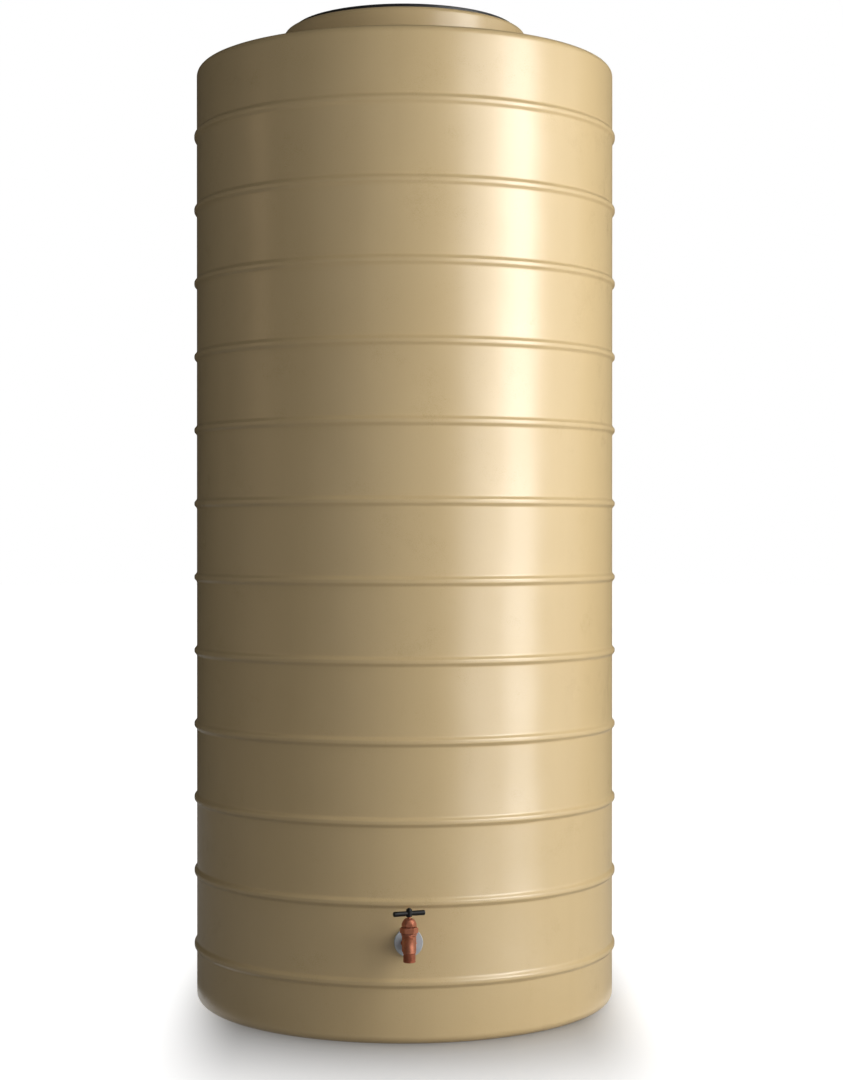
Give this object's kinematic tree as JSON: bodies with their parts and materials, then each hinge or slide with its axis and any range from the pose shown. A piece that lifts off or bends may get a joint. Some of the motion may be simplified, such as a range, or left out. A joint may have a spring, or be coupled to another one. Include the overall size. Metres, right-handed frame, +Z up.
{
  "type": "water tank",
  "caption": "Tall slim cylindrical plastic water tank with ring beads, screw-in lid on a raised neck, brass bib tap at the foot of the front and overflow at the back.",
  "frame": {"origin": "centre of the flat base, on the tank's axis", "axes": "+Z up along the tank's axis; the tap points to -Y and the overflow to +Y"},
  "size_m": [0.7896, 0.8969, 1.8365],
  "materials": {
    "tank_plastic": "satin rotomoulded polyethylene",
    "lid_plastic": "satin",
    "seal_rubber": "matte",
    "connector_plastic": "satin",
    "tap_brass": "satin cast",
    "fibre": "matte",
    "handle_plastic": "gloss",
    "steel": "brushed",
    "overflow_plastic": "satin"
  },
  "bodies": {
    "tank": {"tank_shell": "tank_plastic", "tank_connector": "connector_plastic", "connector_outer_washer": "seal_rubber", "connector_inner_washer": "seal_rubber", "connector_backnut": "connector_plastic", "tap_body": "tap_brass", "bonnet_gasket": "fibre", "tap_bonnet": "tap_brass", "gland_packing": "fibre", "gland_nut": "tap_brass", "overflow_bush": "overflow_plastic", "overflow_outer_washer": "seal_rubber", "overflow_inner_washer": "seal_rubber", "overflow_backnut": "overflow_plastic", "overflow_screen": "steel"},
    "lid_seal": {"lid_seal": "seal_rubber"},
    "lid": {"lid": "lid_plastic"},
    "valve": {"jumper": "tap_brass", "jumper_washer": "seal_rubber", "jumper_nut": "tap_brass"},
    "spindle": {"spindle": "tap_brass", "t_handle": "handle_plastic", "handle_screw": "steel"}
  },
  "joints": [
    {"name": "lid_rise", "type": "slide", "parent": "tank", "child": "lid_seal", "axis": [0, 0, 1], "range_m": [0, 0.045]},
    {"name": "lid_turn", "type": "hinge", "parent": "lid_seal", "child": "lid", "pos_m": [0, 0, 1.8], "axis": [0, 0, 1], "range_deg": [0, 270]},
    {"name": "valve_rise", "type": "slide", "parent": "tank", "child": "valve", "axis": [0, 0, 1], "range_m": [0, 0.005]},
    {"name": "handle_turn", "type": "hinge", "parent": "valve", "child": "spindle", "pos_m": [0, -0.439, 0.22], "axis": [0, 0, 1], "range_deg": [0, 900]}
  ],
  "couplings": [
    {"joint": "lid_rise", "follows": "lid_turn", "m_per_rad": 0.009549},
    {"joint": "handle_turn", "follows": "valve_rise", "rad_per_m": 3141.6}
  ]
}
